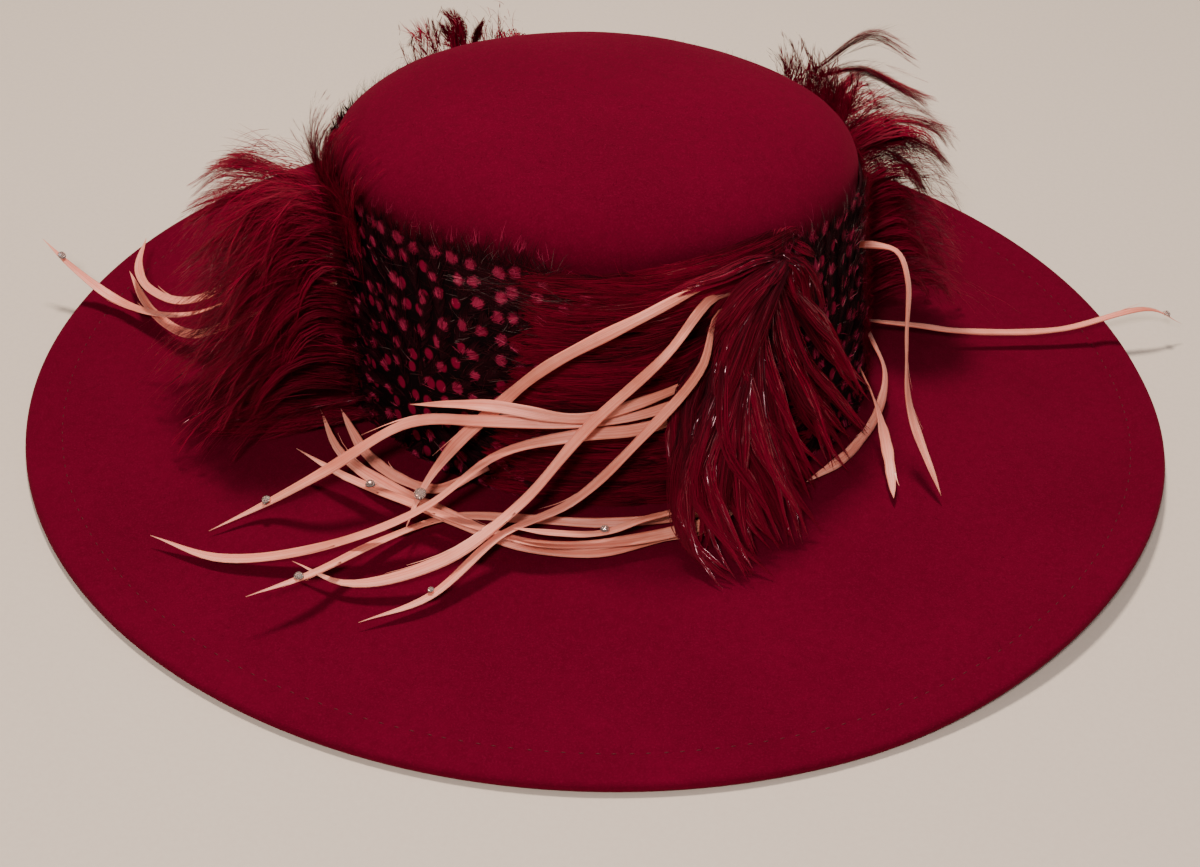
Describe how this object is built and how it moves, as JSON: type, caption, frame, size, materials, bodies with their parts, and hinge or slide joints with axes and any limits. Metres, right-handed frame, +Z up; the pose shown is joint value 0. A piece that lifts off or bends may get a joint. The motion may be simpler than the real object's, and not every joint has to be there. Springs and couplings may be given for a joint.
{
  "type": "church hat",
  "caption": "Wide-brimmed wool felt church hat with a rounded crown, a turned hem, a band of spotted and hackle feathers, plumes, quill blades and small stones.",
  "frame": {"origin": "the crown's axis, on the surface that the brim rests on", "axes": "+X along the long side towards the single far quill, +Y towards the back, +Z up"},
  "size_m": [0.4877, 0.422, 0.1465],
  "materials": {
    "wool_felt": "matte",
    "guinea_feather": "satin",
    "hackle_feather": "satin",
    "quill": "satin",
    "stone": "polished"
  },
  "bodies": {
    "root": {"felt_hat_body": "wool_felt", "guinea_pad_left_back": "guinea_feather", "guinea_pad_left_front": "guinea_feather", "guinea_pad_right_back": "guinea_feather", "guinea_pad_right_front": "guinea_feather", "hackle_plume_back": "hackle_feather", "hackle_plume_front": "hackle_feather", "hackle_plume_left": "hackle_feather", "hackle_plume_right": "hackle_feather", "hackle_sweep_back": "hackle_feather", "hackle_sweep_front": "hackle_feather", "hackle_sweep_left": "hackle_feather", "hackle_sweep_right": "hackle_feather", "quill_back_1": "quill", "quill_back_2": "quill", "quill_back_3": "quill", "quill_front_1": "quill", "quill_front_10": "quill", "quill_front_11": "quill", "quill_front_2": "quill", "quill_front_3": "quill", "quill_front_4": "quill", "quill_front_5": "quill", "quill_front_6": "quill", "quill_front_7": "quill", "quill_front_8": "quill", "quill_front_9": "quill", "quill_left_1": "quill", "quill_left_2": "quill", "quill_left_3": "quill", "quill_right_1": "quill", "quill_right_2": "quill", "quill_right_3": "quill", "quill_right_4": "quill", "rhinestone_1": "stone", "rhinestone_10": "stone", "rhinestone_2": "stone", "rhinestone_3": "stone", "rhinestone_4": "stone", "rhinestone_5": "stone", "rhinestone_6": "stone", "rhinestone_7": "stone", "rhinestone_8": "stone", "rhinestone_9": "stone"}
  },
  "joints": []
}
